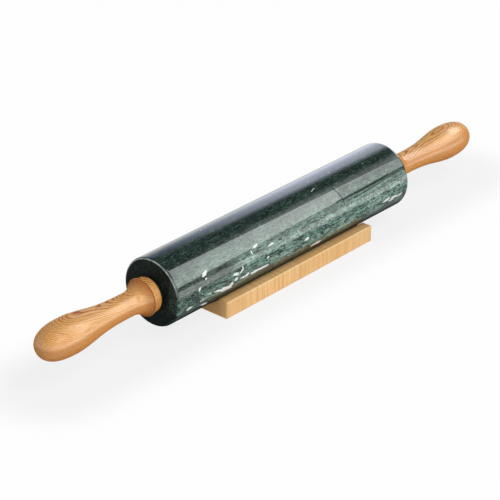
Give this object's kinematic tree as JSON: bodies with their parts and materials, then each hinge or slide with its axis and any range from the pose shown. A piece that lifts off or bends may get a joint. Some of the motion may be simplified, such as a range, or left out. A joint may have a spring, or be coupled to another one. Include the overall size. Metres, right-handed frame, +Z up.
{
  "type": "marble rolling pin",
  "caption": "Polished marble barrel that turns on an axle between turned wooden handles, lying in a grooved wooden cradle.",
  "frame": {"origin": "on the floor, under the middle of the barrel and handles", "axes": "+X along the barrel, +Z up"},
  "size_m": [0.4642, 0.052, 0.0569],
  "materials": {
    "marble": "polished dark green marble with pale flecks",
    "handle_wood": "satin lacquer on turned hardwood",
    "cradle_wood": "satin lacquer on planed hardwood",
    "steel": "ground",
    "nylon": "moulded, black",
    "brass": "turned"
  },
  "bodies": {
    "cradle": {"cradle": "cradle_wood"},
    "barrel": {"marble_barrel": "marble", "left_bearing": "nylon", "right_bearing": "nylon"},
    "axle_and_handles": {"axle_rod": "steel", "left_handle": "handle_wood", "right_handle": "handle_wood", "left_insert": "brass", "right_insert": "brass", "left_washer": "steel", "right_washer": "steel"}
  },
  "joints": [
    {"name": "pin_lift", "type": "slide", "parent": "cradle", "child": "barrel", "axis": [0, 0, 1], "range_m": [0, 0.08]},
    {"name": "handle_spin", "type": "hinge", "parent": "barrel", "child": "axle_and_handles", "pos_m": [0, 0, 0.0315], "axis": [1, 0, 0], "continuous": true}
  ]
}
